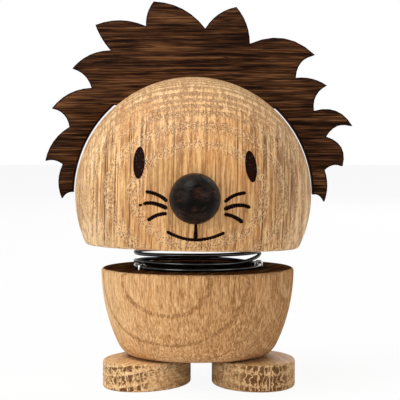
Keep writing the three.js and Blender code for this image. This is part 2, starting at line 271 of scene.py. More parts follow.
# Settings
class FeetSettings(bpy.types.PropertyGroup):
    width: length("Width", "Width of a foot", 20.2)
    length: length("Length", "Length of a foot from heel to toe", 28.6)
    edge: length("Edge", "Rounding of the upper and lower edge", 0.6)
    toe_out_left: angle("Left toe-out", "How far the left foot points outwards", 22)
    toe_out_right: angle("Right toe-out", "How far the right foot points outwards", 10)
    dowel_radius: length("Dowel hole", "Radius of the hole for the dowel", 3.05)


class BodySettings(bpy.types.PropertyGroup):
    radius: length("Radius", "Radius of the flat top", 24.0)
    bowl_depth: length("Bowl depth", "Depth at which the bowl would close on its axis", 33.4)
    foot_edge: length("Lower edge", "Rounding of the lower edge", 2.6)
    rim_edge: length("Rim", "Rounding of the upper edge", 0.9)


class HeadSettings(bpy.types.PropertyGroup):
    radius: length("Radius", "Radius of the ball", 29.35)
    drop: length("Drop", "From the middle of the ball down to its flat underside", 12.73)
    edge: length("Edge", "Rounding round the underside", 0.8)
    neck_gap: length("Neck gap", "From the body up to the underside", 5.27)
    shift: length("Shift", "Sideways set of the head on its spring", -1.08)
    tilt: angle("Tilt", "How far the face looks up", 1.0)
    roll: angle("Roll", "How far the right side hangs", 1.2)
    turn: angle("Turn", "How far the face turns to the right", 0.9)
    hollow_radius: length("Hollow radius", "Radius of the hollow for the spring", 17.5)
    hollow_depth: length("Hollow depth", "Depth of the hollow for the spring", 3.2)
    slot_floor: length("Slot floor", "Floor of the mane's slot above the ball's middle", 22.0)
    slot_play: length("Slot play", "Gap between the mane and each side of its slot", 0.08)


class FaceSettings(bpy.types.PropertyGroup):
    eye_depth: length("Eye depth", "Depth of the burnt eyes", 0.3)
    dot_pitch: length("Dot pitch", "Distance of the burning tool's dots", 0.62)
    dot_swell: portion("Dot swell", "How much narrower the line is between two dots", 0.26)


class ManeSettings(bpy.types.PropertyGroup):
    thickness: length("Thickness", "Thickness of the plate", 4.0)
    setback: length("Setback", "Front face behind the middle of the head", 0.75)
    arch_play: length("Arch play", "Gap between the arch and the ball of the head", 0.65)
    charred_rim: length("Charred rim", "Width of the burnt edge that shows from the front", 0.3)
    rim_drop: length("Rim drop", "How far the burnt edge falls back", 0.14)
    seat_play: length("Seat play", "Gap between the mane and the floor of its slot", 0.1)


class NoseSettings(bpy.types.PropertyGroup):
    radius: length("Radius", "Radius of the nose ball", 5.9)
    stand: length("Stand", "Middle of the nose beyond the ball of the head", 3.5)
    height: length("Height", "Height above the middle of the head", -0.2)
    seat_play: length("Seat play", "Gap between the nose and the ball of the head", 0.05)
    dowel_radius: length("Dowel hole", "Radius of the hole for the dowel", 2.05)
    dowel_in_head: length("Hole in the head", "Depth of the dowel's hole under the ball", 8.2)
    dowel_in_nose: length("Hole in the nose", "Reach of the dowel's hole beyond the ball", 5.2)


class WireSettings(bpy.types.PropertyGroup):
    diameter: length("Wire", "Diameter of the spring's wire", 0.9)
    coil_radius: length("Coil radius", "From the axis to the middle of the wire", 15.55)
    seat_play: length("Seat play", "Gap between the lowest turn and the wood", 0.02)
    tang: length("Tang", "Straight wire end in the wood", 2.2)
    staple_diameter: length("Staple wire", "Diameter of the staples' wire", 0.6)
    staple_leg: length("Staple leg", "Depth of a staple's leg in the wood", 5.0)
    staple_bend: length("Staple bend", "Radius of a staple's corners", 0.5)
    staple_play: length("Staple play", "Gap between a staple and the spring's wire", 0.03)


class WoodColours(bpy.types.PropertyGroup):
    light: colour("Light oak", "Light fibres of the oak", 240, 204, 156)
    middle: colour("Oak", "The oak's main colour", 208, 164, 114)
    brown: colour("Brown oak", "Dark fibres of the oak", 158, 112, 68)
    warm: colour("Warm oak", "Orange patches of the oak", 216, 158, 100)
    dull: colour("Dull oak", "Yellowish patches of the oak", 200, 168, 114)
    face: colour("Flat sawn oak", "Tint where the surface follows the rings", 240, 224, 200)
    pore: colour("Pores", "Open pores of the oak", 104, 64, 30)
    # Darker end grain of the body's top, with painted shade from the head over it
    sawn: colour("Sawn end", "The body's flat top round the spring", 82, 53, 32)
    smoked: colour("Smoked oak", "The mane's main colour", 62, 36, 19)
    smoked_light: colour("Light smoked oak", "Light streaks of the mane", 112, 74, 44)
    # The dark of smoked oak also serves as the painted shade inside the spring on the body's top
    smoked_dark_and_shade: colour("Dark smoked oak", "Dark streaks of the mane", 22, 9, 3)
    char: colour("Char", "Burnt lines and edges", 30, 12, 7)
    # Blue-grey specks of painted glint in the burnt lines
    painted_glint: colour("Ash", "Ashy specks in the burnt lines", 76, 84, 100)
    stain: colour("Stain", "The nose's dark stain", 14, 8, 5)
    stain_red: colour("Red of the stain", "Reddish spots on the nose", 60, 33, 24)
    stain_green: colour("Green of the stain", "Greenish spots on the nose", 31, 26, 15)
    dowel: colour("Dowels", "Plain light rods", 216, 184, 140)


class StageSettings(bpy.types.PropertyGroup):
    eye_x: length("Camera across", "Where the camera stands across", -0.264)
    eye_y: length("Camera back", "Where the camera stands in front", -375.3)
    eye_z: length("Camera height", "Height of the camera", 61.20)
    look_down: angle("Look down", "How far the camera looks down", 2.362)
    look_right: angle("Look right", "How far the camera looks to the right", 0.081)
    focal: FloatProperty(
        name="Focal length",
        description="Focal length on a 36 mm sensor",
        default=137.1,
        subtype="DISTANCE_CAMERA",
        unit="CAMERA",
    )
    floor: colour("Floor", "Pale floor", 240, 240, 240)
    white: portion("White floor", "Share of plain white in the floor that the camera sees", 0.93)
    sky: portion("Sky", "Strength of the even light", 0.13)
    key: power("Key", "Watts of the soft key light", 4.2)
    top: power("Top", "Watts of the soft light from above", 8.4)
    fill: power("Fill", "Watts of the weak fill light", 2.7)
    back: power("Back", "Watts of the light from behind", 4.0)


# Modelling
def start_piece():
    """Leaves nothing selected, so that an operator acts only on what comes next."""
    if bpy.context.object and bpy.context.object.mode != "OBJECT":
        bpy.ops.object.mode_set(mode="OBJECT")
    bpy.ops.object.select_all(action="DESELECT")


def only(piece):
    start_piece()
    piece.select_set(True)
    bpy.context.view_layer.objects.active = piece


def weld(piece):
    """Merges doubles, closes the seams and turns all faces outwards."""
    only(piece)
    bpy.ops.object.mode_set(mode="EDIT")
    bpy.ops.mesh.select_all(action="SELECT")
    bpy.ops.mesh.remove_doubles(threshold=WELD)
    bpy.ops.mesh.normals_make_consistent(inside=False)
    bpy.ops.object.mode_set(mode="OBJECT")
    return piece


def put(piece, place):
    """Moves a piece to its place and keeps the place in its mesh."""
    only(piece)
    piece.matrix_world = place @ piece.matrix_world
    bpy.ops.object.transform_apply(location=True, rotation=True, scale=True)
    return piece


def copy_of(piece, name):
    """A copy with a mesh of its own."""
    only(piece)
    bpy.ops.object.duplicate()
    copy = bpy.context.object
    copy.name = name
    return copy


def turned(name, profile):
    """A closed solid turned about the Z axis, from pairs of radius and height."""
    start_piece()
    radius, height = profile[0]
    bpy.ops.mesh.primitive_circle_add(
        vertices=TURNED_SIDES,
        radius=radius,
        fill_type="NGON",
        location=(0, 0, height),
        enter_editmode=True,
    )
    for (last, base), (radius, height) in zip(profile, profile[1:]):
        share = radius / last
        bpy.ops.mesh.extrude_region_move(TRANSFORM_OT_translate={"value": (0, 0, height - base)})
        bpy.ops.transform.resize(value=(share, share, 1), center_override=(0, 0, height))
    bpy.ops.object.mode_set(mode="OBJECT")
    piece = bpy.context.object
    piece.name = name
    return put(weld(piece), Matrix.Identity(4))


def round_corner(before, corner, after):
    """Points of a smooth corner between two points of a profile."""
    shares = [step / CORNER_STEPS for step in range(CORNER_STEPS + 1)]
    return [
        tuple(
            (1 - t) ** 2 * a + 2 * t * (1 - t) * b + t ** 2 * c
            for a, b, c in zip(before, corner, after)
        )
        for t in shares
    ]


def wire(name, points, radius, shares=None, sides=4):
    """A round rod along points, with closed ends. Shares swell or thin it at each point."""
    start_piece()
    bpy.ops.curve.primitive_nurbs_path_add()
    piece = bpy.context.object
    piece.name = name
    line = piece.data
    line.splines.clear()
    spline = line.splines.new("POLY")
    spline.points.add(len(points) - 1)
    for knot, point, share in zip(spline.points, points, shares or [1] * len(points)):
        knot.co = (*point, 1)
        knot.radius = share
    line.dimensions = "3D"
    line.bevel_depth = radius
    line.bevel_resolution = sides
    line.use_fill_caps = True
    bpy.ops.object.convert(target="MESH")
    return weld(bpy.context.object)


def plate(name, edges, thickness):
    """A flat plate in the XY plane from a closed outline of Bezier edges (start, two handles)."""
    start_piece()
    bpy.ops.curve.primitive_bezier_circle_add()
    piece = bpy.context.object
    piece.name = name
    line = piece.data
    line.splines.clear()
    line.dimensions = "2D"
    line.fill_mode = "BOTH"
    line.resolution_u = OUTLINE_STEPS
    line.extrude = thickness / 2
    spline = line.splines.new("BEZIER")
    spline.bezier_points.add(len(edges) - 1)
    spline.use_cyclic_u = True
    for index, knot in enumerate(spline.bezier_points):
        start, leaving, _ = edges[index]
        arriving = edges[index - 1][2]
        knot.handle_left_type = "FREE"
        knot.handle_right_type = "FREE"
        knot.co = start.to_3d()
        knot.handle_left = arriving.to_3d()
        knot.handle_right = leaving.to_3d()
    bpy.ops.object.convert(target="MESH")
    return weld(bpy.context.object)


def swelling_edge(start, end, bulge):
    """One Bezier edge that stands off its chord by bulge, to the left of its way."""
    along = (end - start).normalized()
    control = (start + end) / 2 + Vector((-along.y, along.x)) * 2 * bulge
    return (start, start.lerp(control, 2 / 3), end.lerp(control, 2 / 3))


def arc_edges(radius, first, last, count):
    """Bezier edges of an arc about the origin, from angle first to angle last."""
    step = (last - first) / count
    reach = 4 / 3 * math.tan(step / 4) * radius
    edges = []
    for index in range(count):
        ends = []
        for turn, way in ((first + index * step, 1), (first + (index + 1) * step, -1)):
            spot = Vector((math.cos(turn), math.sin(turn))) * radius
            tangent = Vector((-math.sin(turn), math.cos(turn))) * reach * way
            ends.append((spot, spot + tangent))
        edges.append((ends[0][0], ends[0][1], ends[1][1]))
    return edges


def cut(piece, tools, finish=None):
    """Cuts tools out of a piece. With a finish, the cut faces take it."""
    for tool in tools:
        if finish:
            tool.data.materials.clear()
            tool.data.materials.append(finish)
        only(piece)
        modifier = piece.modifiers.new("cut", "BOOLEAN")
        modifier.object = tool
        modifier.solver = "EXACT"
        modifier.material_mode = "TRANSFER" if finish else "INDEX"
        bpy.ops.object.modifier_apply(modifier=modifier.name)
        bpy.data.objects.remove(tool)
    return piece


def rod_tool(radius, start, end):
    """A plain rod between two points, to drill a hole with."""
    start_piece()
    way = end - start
    bpy.ops.mesh.primitive_cylinder_add(vertices=HOLE_SIDES, radius=radius, depth=way.length)
    tool = bpy.context.object
    turn = way.to_track_quat("Z", "Y").to_matrix().to_4x4()
    return put(tool, Matrix.Translation((start + end) / 2) @ turn)


def box_tool(low, high):
    start_piece()
    bpy.ops.mesh.primitive_cube_add(size=1)
    size = high - low
    return put(bpy.context.object, Matrix.Translation((low + high) / 2) @ Matrix.Diagonal((*size, 1)))


def ball_tool(radius):
    start_piece()
    bpy.ops.mesh.primitive_uv_sphere_add(
        segments=TURNED_SIDES, ring_count=TURNED_SIDES // 2, radius=radius,
    )
    return bpy.context.object


def done(piece, finish, body, slot, *nodes):
    """Smooths a piece, gives it its finish and lets it ride on its body in place of CAD nodes."""
    only(piece)
    bpy.ops.object.shade_smooth_by_angle(angle=SMOOTH_BELOW)
    if not piece.data.materials:
        piece.data.materials.append(finish)
    if body:
        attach(piece, body)
    if nodes:
        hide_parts(*nodes)


def smooth_step(value, low, high):
    share = min(max((value - low) / (high - low), 0), 1)
    return share * share * (3 - 2 * share)


def head_place(scene):
    """Where the head's own frame stands."""
    head = scene.lion_head
    height = body_high.z + head.neck_gap + head.drop
    return (
        Matrix.Translation((body_axis.x + head.shift, body_axis.y, height))
        @ Matrix.Rotation(head.turn, 4, "Z")
        @ Matrix.Rotation(head.roll, 4, "Y")
        @ Matrix.Rotation(-head.tilt, 4, "X")
    )


# Shaders
class Socket:
    """An output of a shader node that takes part in arithmetic."""

    def __init__(self, finish, socket):
        self.finish = finish
        self.socket = socket

    def maths(self, operation, *values):
        names = ("Value", "Value_001", "Value_002")
        return self.finish.node("ShaderNodeMath", {"operation": operation}, dict(zip(names, values)))

    def __add__(self, other):
        return self.maths("ADD", self, other)

    def __radd__(self, other):
        return self.maths("ADD", other, self)

    def __sub__(self, other):
        return self.maths("SUBTRACT", self, other)

    def __rsub__(self, other):
        return self.maths("SUBTRACT", other, self)

    def __mul__(self, other):
        return self.maths("MULTIPLY", self, other)

    def __rmul__(self, other):
        return self.maths("MULTIPLY", other, self)

    def __truediv__(self, other):
        return self.maths("DIVIDE", self, other)

    def __rtruediv__(self, other):
        return self.maths("DIVIDE", other, self)

    def __pow__(self, other):
        return self.maths("POWER", self, other)

    def __rpow__(self, other):
        return self.maths("POWER", other, self)

    def __abs__(self):
        return self.maths("ABSOLUTE", self)

    def fraction(self):
        return self.maths("FRACT", self)

    def wave(self):
        return self.maths("SINE", self)

    def at_most(self, other):
        return self.maths("MINIMUM", self, other)

    def at_least(self, other):
        return self.maths("MAXIMUM", self, other)

    def ramp(self, low, high, start=0.0, end=1.0):
        """Runs smoothly from start to end while this value goes from low to high."""
        return self.finish.node(
            "ShaderNodeMapRange",
            {"interpolation_type": "SMOOTHSTEP"},
            {"Value": self, "From Min": low, "From Max": high, "To Min": start, "To Max": end},
            "Result",
        )


class Finish:
    """A material or a world whose nodes are added one by one."""

    def __init__(self, name, kind=bpy.data.materials):
        self.material = kind.new(name)
        self.material.use_nodes = True
        self.tree = self.material.node_tree
        self.tree.nodes.clear()

    def node(self, kind, settings=None, values=None, output=None):
        """Adds a node: first its settings, then the values or links of its sockets."""
        node = self.tree.nodes.new(kind)
        for name, value in (settings or {}).items():
            setattr(node, name, value)
        for name, value in (values or {}).items():
            socket = next(s for s in node.inputs if s.identifier == name)
            if isinstance(value, Socket):
                self.tree.links.new(value.socket, socket)
            else:
                socket.default_value = value
        if not node.outputs:
            return None
        found = next((s for s in node.outputs if s.identifier == output), node.outputs[0])
        return Socket(self, found)

    def place(self, centre, turn=(0, 0, 0)):
        """Millimetres from a centre, in axes that are turned against the world's."""
        spot = self.node("ShaderNodeTexCoord", output="Object")
        return self.node(
            "ShaderNodeMapping",
            {"vector_type": "TEXTURE"},
            {"Vector": spot, "Location": centre, "Rotation": turn, "Scale": (mm, mm, mm)},
        )

    def vectors(self, operation, first, second, output="Vector"):
        values = {"Vector": first, "Vector_001": second}
        return self.node("ShaderNodeVectorMath", {"operation": operation}, values, output)

    def stretched(self, spot, factors):
        return self.vectors("MULTIPLY", spot, factors)

    def shifted(self, spot, offset):
        return self.vectors("ADD", spot, offset)

    def parts(self, spot):
        x = self.node("ShaderNodeSeparateXYZ", None, {"Vector": spot}, "X")
        node = x.socket.node
        return [Socket(self, socket) for socket in node.outputs]

    def noise(self, spot, factors, detail=2.0, roughness=0.5, output="Fac"):
        return self.node(
            "ShaderNodeTexNoise",
            {"noise_dimensions": "3D"},
            {
                "Vector": self.stretched(spot, factors),
                "Scale": 1.0,
                "Detail": detail,
                "Roughness": roughness,
            },
            output,
        )

    def cells(self, spot, size):
        """Distance from the nearest seed, as a share of a size in millimetres, and a chance for it."""
        distance = self.node(
            "ShaderNodeTexVoronoi",
            {"voronoi_dimensions": "3D", "feature": "F1"},
            {"Vector": self.stretched(spot, tuple(1 / s for s in size)), "Scale": 1.0},
            "Distance",
        )
        return distance, Socket(self, distance.socket.node.outputs["Color"])

    def facing(self, axis):
        """How squarely the surface faces along an axis, in either sense."""
        normal = self.node("ShaderNodeTexCoord", output="Normal")
        return abs(self.vectors("DOT_PRODUCT", normal, axis, "Value"))

    def mix(self, first, second, amount, how="MIX"):
        values = {"Factor_Float": amount, "A_Color": first, "B_Color": second}
        values = {k: (*v, 1) if isinstance(v, tuple) else v for k, v in values.items()}
        settings = {"data_type": "RGBA", "blend_type": how, "clamp_factor": True}
        return self.node("ShaderNodeMix", settings, values, "Result_Color")

    def surface(self, height, depth, **values):
        """Ends the material in a shader. A height of 1 stands a depth above a height of 0."""
        names = {
            "colour": "Base Color",
            "roughness": "Roughness",
            "metallic": "Metallic",
            "specular": "Specular IOR Level",
        }
        sockets = {names[key]: value for key, value in values.items()}
        bump = {"Strength": 1.0, "Distance": depth, "Height": height}
        sockets["Normal"] = self.node("ShaderNodeBump", None, bump)
        shader = self.node("ShaderNodeBsdfPrincipled", None, sockets)
        self.node("ShaderNodeOutputMaterial", None, {"Surface": shader})
        return self.material


def oak(name, colours, centre, turn, look):
    """Solid oak. In its own axes the fibres run along Z, and the pith lies behind along Y."""
    finish = Finish(name)
    spot = finish.shifted(finish.place(centre, turn), (0, 0, look["along"]))
    sway = finish.noise(spot, (0.05, 0.05, 0.02), 2.0, output="Color")
    sway = finish.stretched(finish.shifted(sway, (-0.5, -0.5, -0.5)), look["sway"])
    across, growth, _ = finish.parts(finish.shifted(spot, sway))
    axes = Euler(turn).to_matrix()
    flat = finish.facing(axes.col[1])
    end = finish.facing(axes.col[2])

    # Year rings of changing width
    behind = growth - look["pith"]
    reach = (across * across + behind * behind) ** 0.5
    reach = reach.at_most(look["last_ring"])
    ring = ((reach + 0.5 * (0.7 * reach).wave()) / look["ring"] + look["first_ring"]).fraction()
    early = ring.ramp(0.0, 0.07) * ring.ramp(look["early"] * 0.4, look["early"], 1.0, 0.0)

    # Stripes, threads and grit of the fibres, lighter and darker
    stripe = finish.noise(spot, look["stripe"], 3.0, 0.6) - 0.5
    thread = finish.noise(spot, look["thread"], 2.0, 0.5) - 0.5
    grit = finish.noise(spot, look["grit"], 2.0, 0.6) - 0.5
    sawn = end.ramp(0.35, 0.85)
    light = look["level"] + across * look["pale_side"] + sawn * look["pale_end"]
    light = light + stripe * look["stripe_depth"] + thread * look["thread_depth"]
    light = light + grit * (look["grit_depth"] * (0.45 + early + sawn * 0.6))
    light = light - early * end.ramp(0.35, 0.85, look["early_depth"], look["end_depth"])

    # Pores of the early wood, each with a light rim
    near, chance = finish.cells(spot, look["pore"])
    open_pore = near.ramp(0.2, 0.38, 1.0, 0.0) * chance.ramp(0.3, 0.4) * (0.12 + early)
    rim = near.ramp(0.3, 0.45) * near.ramp(0.5, 0.62, 1.0, 0.0) * early

    # Rays: thin sheets across the rings, dark lines in front and light ones elsewhere
    near, chance = finish.cells(spot, look["ray"])
    ray = near.ramp(look["ray_edge"] * 0.6, look["ray_edge"], 1.0, 0.0) * chance.ramp(*look["ray_kept"])
    ray = ray * end.ramp(0.45, 0.75, 1.0, look["end_rays"])
    if look["sheet_gap"]:
        drift = finish.noise(spot, (0.4, 0.45, 0.05), 2.0) - 0.5
        sheet = ((across + drift * look["sheet_drift"]) / look["sheet_gap"]).fraction()
        ray = ray.at_least(abs(sheet - 0.5).ramp(*look["sheet"], 1.0, 0.0)) * end.ramp(0.35, 0.7)
    clot = early * look["clot_rows"] + finish.noise(spot, look["clot"], 3.0, 0.65) - grit * 0.35
    clot = clot.ramp(*look["clot_kept"]) * (1 - ray) * end.ramp(0.6, 0.9)

    patch = finish.noise(spot, (0.09, 0.09, 0.05), 2.0)
    base = finish.mix(colours.brown[:], colours.middle[:], light.ramp(0.0, 0.55))
    base = finish.mix(base, colours.light[:], light.ramp(0.45, 1.0))
    base = finish.mix(base, colours.warm[:], patch.ramp(0.5, 0.75, 0.0, look["warm"]))
    base = finish.mix(base, colours.dull[:], patch.ramp(0.25, 0.5, look["dull"], 0.0))
    base = finish.mix(base, colours.face[:], flat.ramp(0.35, 0.95, 0.0, look["face"]), "MULTIPLY")
    # The body's sawn top: darker end grain with painted shade from the head over it
    if look["shaded_sawn_end"]:
        out = (across * across + growth * growth) ** 0.5
        # Near-black painted shade inside the spring, going over to the sawn tone beyond it
        sawn_shade_tone = finish.mix(colours.smoked_dark_and_shade[:], colours.sawn[:], out.ramp(*COIL_SHADE_RING))
        base = finish.mix(base, sawn_shade_tone, end.ramp(0.93, 0.99, 0.0, look["shaded_sawn_end"]))
    base = finish.mix(base, colours.pore[:], clot * look["clot_depth"])
    ray_tone = finish.mix(colours.light[:], colours.pore[:], flat.ramp(0.35, 0.6))
    base = finish.mix(base, ray_tone, ray * look["ray_depth"])
    base = finish.mix(base, colours.light[:], rim * look["rim_depth"])
    base = finish.mix(base, colours.pore[:], open_pore * look["pore_depth"])
    if look["tint"]:
        base = finish.mix(base, look["tint"], 1.0, "MULTIPLY")
    height = stripe * 0.4 + grit * 0.5 - open_pore - clot * 0.4
    return finish.surface(
        height,
        0.1 * mm,
        colour=base,
        roughness=0.55 + 0.15 * open_pore + 0.2 * stripe,
        specular=look["shine"],
    )


# How each piece of oak looks. Lengths are in millimetres, and shares run from 0 to 1.
HEAD_OAK = dict(
    # Place along the fibres, distance of the pith, width of a ring, how far the first ring has
    # grown, distance at which the rings end, and how far the fibres sway
    along=0.0, pith=34.0, ring=2.05, first_ring=0.86, last_ring=61.9, sway=(3.0, 2.2, 0),
    # Lightness, share of early wood in a ring, how dark that is on long grain and on end grain,
    # and how much paler the wood grows with each millimetre to the right and on sawn ends
    level=0.5, early=0.8, early_depth=0.12, end_depth=0.95, pale_side=0.0, pale_end=0.22,
    # Noises along the fibres: factors for the three axes, and strengths
    stripe=(0.95, 0.12, 0.035), stripe_depth=2.8, thread=(2.6, 0.6, 0.14), thread_depth=2.1,
    grit=(2.2, 2.2, 0.8), grit_depth=1.9,
    # Pores and rays: sizes of a cell, which rays are kept, and how strongly all of them show
    pore=(0.42, 0.42, 1.1), pore_depth=0.6, rim_depth=0.55,
    ray=(0.5, 16.0, 60.0), ray_edge=0.42, ray_kept=(0.42, 0.48), ray_depth=0.95, end_rays=0.2,
    # Sheets of rays across the end grain, and dark clots in it. Only the feet have them.
    sheet_gap=0, sheet_drift=0.0, sheet=(0.07, 0.18),
    clot=(0.9, 1.0, 0.2), clot_rows=0.0, clot_kept=(2, 3), clot_depth=0.0,
    # Tint of flat sawn faces, dark sawn end with painted shade, patches of colour, shine, tint of all
    face=1.0, shaded_sawn_end=0.0, warm=0.5, dull=0.4, shine=0.3, tint=None,
)
BODY_OAK = dict(
    HEAD_OAK,
    along=83.0, pith=11.5, ring=1.95, first_ring=0.75, last_ring=99.0, sway=(1.2, 0.8, 0),
    level=0.53, early=0.18, early_depth=0.5, end_depth=0.5, pale_side=-0.013, pale_end=0.0,
    stripe=(1.2, 1.2, 0.12), stripe_depth=1.0, thread=(3.4, 3.4, 0.45), thread_depth=1.5,
    grit=(3.0, 3.0, 0.9), grit_depth=2.1,
    pore_depth=0.4, rim_depth=0.25, ray_depth=0.25, end_rays=1.0,
    face=0.45, shaded_sawn_end=1.0, warm=0.3, dull=0.15, shine=0.0, tint=tone(253, 252, 255),
)
LEFT_FOOT_OAK = dict(
    HEAD_OAK,
    along=171.0, pith=40.0, ring=2.1, first_ring=0.1, last_ring=99.0, sway=(1.0, 1.0, 0),
    level=0.62, early=0.9, early_depth=0.05, end_depth=0.2, pale_end=0.0,
    stripe=(1.1, 1.1, 0.04), stripe_depth=1.2,
    pore=(0.7, 0.6, 2.4), pore_depth=0.3, rim_depth=0.1, ray_depth=0.35, end_rays=1.0,
    sheet_gap=1.75, sheet_drift=4.0,
    clot=(1.0, 0.9, 0.15), clot_rows=0.25, clot_kept=(0.58, 0.68), clot_depth=0.95,
    face=0.3, shine=0.1, tint=tone(252, 252, 250),
)
RIGHT_FOOT_OAK = dict(
    LEFT_FOOT_OAK,
    along=229.0, end_depth=0.4, ray_depth=0.6, sheet_gap=1.3, sheet_drift=3.0, sheet=(0.05, 0.14),
    clot_kept=(0.49, 0.61), tint=tone(238, 235, 230),
)


def smoked_oak(name, colours, centre):
    """Smoked oak whose fibres run along X, with near-black streaks."""
    finish = Finish(name)
    spot = finish.place(centre)
    broad = finish.noise(spot, (0.012, 0.3, 0.3), 3.0, 0.6)
    streak = finish.noise(spot, (0.04, 1.3, 1.3), 3.0, 0.65)
    thread = finish.noise(spot, (0.12, 3.0, 3.0), 2.0, 0.6)
    line = abs(finish.noise(spot, (0.02, 0.55, 0.62), 2.0) - 0.5).ramp(0.0, 0.02, 1.0, 0.0)
    glow = finish.noise(spot, (0.05, 0.16, 0.16), 2.0)
    light = 0.5 + (broad - 0.5) * 0.9 + (streak - 0.5) * 1.7 + (thread - 0.5) * 1.5 + (glow - 0.5) * 0.6
    base = finish.mix(colours.smoked_dark_and_shade[:], colours.smoked[:], light.ramp(0.2, 0.55))
    base = finish.mix(base, colours.smoked_light[:], light.ramp(0.5, 0.95))
    base = finish.mix(base, colours.smoked_dark_and_shade[:], line * 0.8)
    return finish.surface(
        thread * 0.5 + streak * 0.6,
        0.1 * mm,
        colour=base,
        roughness=0.7 + 0.1 * thread,
        specular=0.05,
    )


def charred_wood(name, colours, centre):
    """Burnt wood, nearly black with faint brown and a few blue-grey specks of painted glint."""
    finish = Finish(name)
    spot = finish.place(centre)
    speck = finish.noise(spot, (2.2, 2.2, 2.2), 3.0, 0.7)
    near, chance = finish.cells(spot, (0.5, 0.5, 0.7))
    # Few blue-grey specks: painted glints on the char
    painted_glint = near.ramp(0.15, 0.35, 1.0, 0.0) * chance.ramp(0.62, 0.68)
    base = finish.mix(colours.char[:], colours.smoked[:], speck.ramp(0.55, 0.8, 0.0, 0.55))
    base = finish.mix(base, colours.painted_glint[:], painted_glint * 0.6)
    return finish.surface(speck, 0.1 * mm, colour=base, roughness=0.7, specular=0.03)


def stained_wood(name, colours, centre):
    """Dark stained wood with reddish clouds and a soft shine."""
    finish = Finish(name)
    spot = finish.place(centre)
    cloud = finish.noise(spot, (0.2, 0.2, 0.42), 4.0, 0.7)
    grain = finish.noise(spot, (0.35, 1.3, 1.5), 4.0, 0.7)
    dark = finish.noise(finish.shifted(spot, (9, 4, 2)), (0.22, 0.22, 0.22), 3.0, 0.6)
    base = finish.mix(colours.stain[:], colours.stain_red[:], cloud.ramp(0.46, 0.66))
    base = finish.mix(base, colours.stain_green[:], dark.ramp(0.36, 0.5, 0.9, 0.0))
    base = finish.mix(base, tone(4, 3, 2), grain.ramp(0.47, 0.6, 0.0, 0.9))
    return finish.surface(
        grain * 0.7 + cloud * 0.3,
        0.16 * mm,
        colour=base,
        roughness=0.1 + 0.24 * cloud,
        specular=0.06,
    )


def dowel_wood(name, colours, centre, turn):
    """Plain light wood with fine fibres along its own Z axis."""
    finish = Finish(name)
    spot = finish.place(centre, turn)
    fibre = finish.noise(spot, (2.4, 2.4, 0.12), 4.0, 0.6)
    near, _ = finish.cells(spot, (0.5, 0.5, 2.4))
    pore = near.ramp(0.15, 0.3, 1.0, 0.0)
    base = finish.mix(colours.dowel[:], colours.brown[:], fibre.ramp(0.4, 0.7, 0.0, 0.5))
    base = finish.mix(base, colours.pore[:], pore * 0.5)
    return finish.surface(fibre, 0.05 * mm, colour=base, roughness=0.6, specular=0.3)


def black_wire(name):
    """Blackened spring wire with a glossy skin and faint draw marks."""
    finish = Finish(name)
    spot = finish.place((0, 0, 0))
    mark = finish.noise(spot, (0.9, 0.9, 2.6), 3.0, 0.6)
    base = finish.mix(tone(4, 4, 4), tone(18, 17, 17), mark.ramp(0.4, 0.7))
    return finish.surface(mark, 0.01 * mm, colour=base, roughness=0.1 + 0.1 * mark, specular=0.8)


def bright_wire(name):
    """Bright staple wire with a few dull spots."""
    finish = Finish(name)
    spot = finish.place((0, 0, 0))
    dull = finish.noise(spot, (1.4, 1.4, 1.4), 3.0, 0.6)
    base = finish.mix(tone(226, 226, 228), tone(170, 168, 166), dull.ramp(0.45, 0.7))
    return finish.surface(dull, 0.01 * mm, colour=base, roughness=0.16 + 0.2 * dull, metallic=1.0)


# Pieces
class LION_OT_feet(bpy.types.Operator):
    """Model the two oval feet"""

    bl_idname = "lion.feet"
    bl_label = "Feet"

    def execute(self, context):
        scene = context.scene
        feet = scene.lion_feet
        colours = scene.lion_colours
        turns = {"left": -feet.toe_out_left, "right": feet.toe_out_right}
        looks = {"left": LEFT_FOOT_OAK, "right": RIGHT_FOOT_OAK}
        for side, turn in turns.items():
            low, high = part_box("foot_" + side)
            piece = self.disc(side + "_foot", feet, high.z - low.z)
            middle = (low + high) / 2
            put(piece, Matrix.Translation((middle.x, middle.y, low.z)) @ Matrix.Rotation(turn, 4, "Z"))
            dowel_low, dowel_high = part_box("foot_dowel_" + side)
            axis = (dowel_low + dowel_high) / 2
            start = Vector((axis.x, axis.y, dowel_low.z - DRILL_PLAY))
            end = Vector((axis.x, axis.y, dowel_high.z))
            cut(piece, [rod_tool(feet.dowel_radius, start, end)])
            lean = math.radians(FOOT_LEANS[side])
            grain = Matrix.Rotation(turn, 3, "Z") @ Matrix.Rotation(lean, 3, "Y")
            grain = grain @ Matrix.Rotation(QUARTER_TURN, 3, "X")
            finish = oak(side + "_foot_oak", colours, middle, grain.to_euler(), looks[side])
            done(piece, finish, "trunk", "oak", "foot_" + side)
        return {"FINISHED"}

    def disc(self, name, feet, height):
        """An oval disc with rounded edges that stands on the origin."""
        start_piece()
        bpy.ops.mesh.primitive_circle_add(
            vertices=FOOT_SIDES, radius=feet.width / 2, fill_type="NGON", enter_editmode=True,
        )
        bpy.ops.transform.resize(
            value=(1, feet.length / feet.width, 1), center_override=(0, 0, 0),
        )
        bpy.ops.mesh.extrude_region_move(TRANSFORM_OT_translate={"value": (0, 0, height)})
        bpy.ops.object.mode_set(mode="OBJECT")
        piece = bpy.context.object
        piece.name = name
        for face in piece.data.polygons:
            face.select = len(face.vertices) == FOOT_SIDES
        bpy.ops.object.mode_set(mode="EDIT")
        bpy.ops.mesh.select_mode(type="FACE")
        bpy.ops.mesh.bevel(offset=feet.edge, segments=CORNER_STEPS, affect="EDGES")
        return weld(piece)


